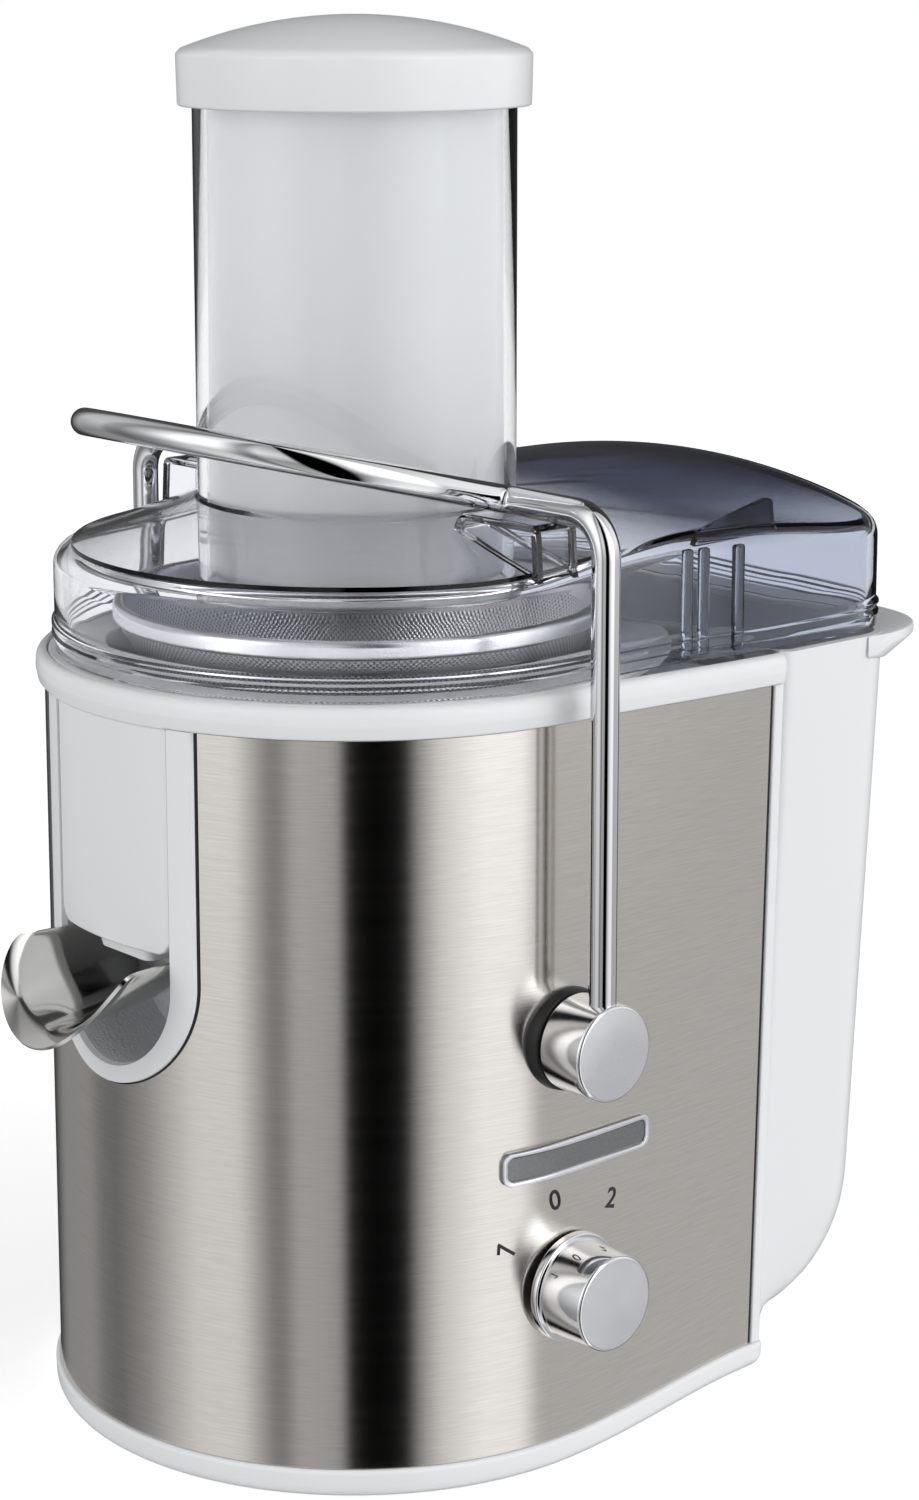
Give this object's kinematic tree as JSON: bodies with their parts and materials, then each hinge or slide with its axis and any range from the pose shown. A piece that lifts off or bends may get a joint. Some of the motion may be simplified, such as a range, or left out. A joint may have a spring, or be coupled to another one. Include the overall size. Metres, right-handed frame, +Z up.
{
  "type": "centrifugal juicer",
  "caption": "Centrifugal juicer: steel-wrapped motor body with spout, clear lid with wide feed tube and pusher, locking wire bail, speed knob and rear pulp bin.",
  "frame": {"origin": "middle of the footprint, on the table that the feet stand on", "axes": "+Z up, -Y towards the spout, +X towards the side with the speed knob"},
  "size_m": [0.193, 0.2432, 0.3567],
  "materials": {
    "white_plastic": "satin moulded white plastic",
    "liner_plastic": "light grey textured plastic",
    "brushed_steel": "brushed along the wrap",
    "polished_chrome": "polished",
    "badge_metal": "satin grey",
    "clear_plastic": "clear, faintly blue",
    "dark_plastic": "matt",
    "rubber": "matt",
    "copper": "enamelled wire",
    "lamination": "stacked sheet",
    "bronze": "sintered",
    "die_cast": "cast",
    "carbon": "pressed carbon",
    "nylon": "natural",
    "mesh_steel": "fine perforated sheet"
  },
  "bodies": {
    "base": {"base_tray": "white_plastic", "feet": "rubber", "base_screws": "polished_chrome", "cord_gland": "dark_plastic", "housing": "white_plastic", "motor_deck": "white_plastic", "top_deck": "white_plastic", "collar": "white_plastic", "steel_skin": "brushed_steel", "rear_trims": "white_plastic", "spout_frame": "white_plastic", "recess_liner": "liner_plastic", "badge": "badge_metal", "juice_bowl": "white_plastic", "bowl_floor": "white_plastic", "front_panel": "white_plastic", "juice_outlet": "white_plastic", "spout": "polished_chrome", "lid": "clear_plastic", "feed_tube": "clear_plastic", "stator_core": "lamination", "stator_windings": "copper", "bracket_top": "die_cast", "bracket_bottom": "die_cast", "bearing_top": "bronze", "bearing_bottom": "bronze", "brush_holders": "dark_plastic", "carbon_brushes": "carbon", "motor_mounts": "rubber", "motor_screws": "polished_chrome", "shaft_seal": "rubber", "pivot_bushes": "nylon", "pivot_gaskets": "rubber", "rotary_switch": "dark_plastic", "safety_switch": "dark_plastic"},
    "rotor": {"motor_shaft": "polished_chrome", "rotor_core": "lamination", "rotor_windings": "copper", "commutator": "copper", "fan": "nylon", "drive_coupling": "nylon", "basket_hub": "white_plastic", "basket_mesh": "mesh_steel", "basket_rim": "polished_chrome", "grater_disc": "polished_chrome"},
    "bail": {"bail_loop": "polished_chrome", "bail_arm_right": "polished_chrome", "bail_arm_left": "polished_chrome", "pivot_cap_right": "polished_chrome", "pivot_cap_left": "polished_chrome", "pivot_pins": "polished_chrome", "pivot_clips": "dark_plastic", "lock_cam": "nylon"},
    "knob": {"speed_knob": "polished_chrome", "knob_shaft": "polished_chrome"},
    "pusher": {"pusher": "white_plastic", "pusher_cap": "white_plastic"},
    "bin": {"pulp_bin": "white_plastic"},
    "plunger": {"safety_plunger": "nylon"}
  },
  "joints": [
    {"name": "rotor_spin", "type": "hinge", "parent": "base", "child": "rotor", "pos_m": [0, -0.0145, 0.05], "axis": [0, 0, 1], "continuous": true},
    {"name": "bail_swing", "type": "hinge", "parent": "base", "child": "bail", "pos_m": [0, -0.0145, 0.112], "axis": [1, 0, 0], "range_deg": [0, 95]},
    {"name": "knob_turn", "type": "hinge", "parent": "base", "child": "knob", "pos_m": [0.085, -0.0135, 0.048], "axis": [1, 0, 0], "range_deg": [-47, 47]},
    {"name": "pusher_lift", "type": "slide", "parent": "base", "child": "pusher", "axis": [0, 0, 1], "range_m": [0, 0.11]},
    {"name": "bin_pull", "type": "slide", "parent": "base", "child": "bin", "axis": [0, 1, 0], "range_m": [0, 0.12]},
    {"name": "plunger_rise", "type": "slide", "parent": "base", "child": "plunger", "axis": [0, 0, 1], "range_m": [0, 0.0012]}
  ],
  "couplings": [
    {"joint": "plunger_rise", "follows": "bail_swing", "m_per_rad": 0.0007237}
  ]
}
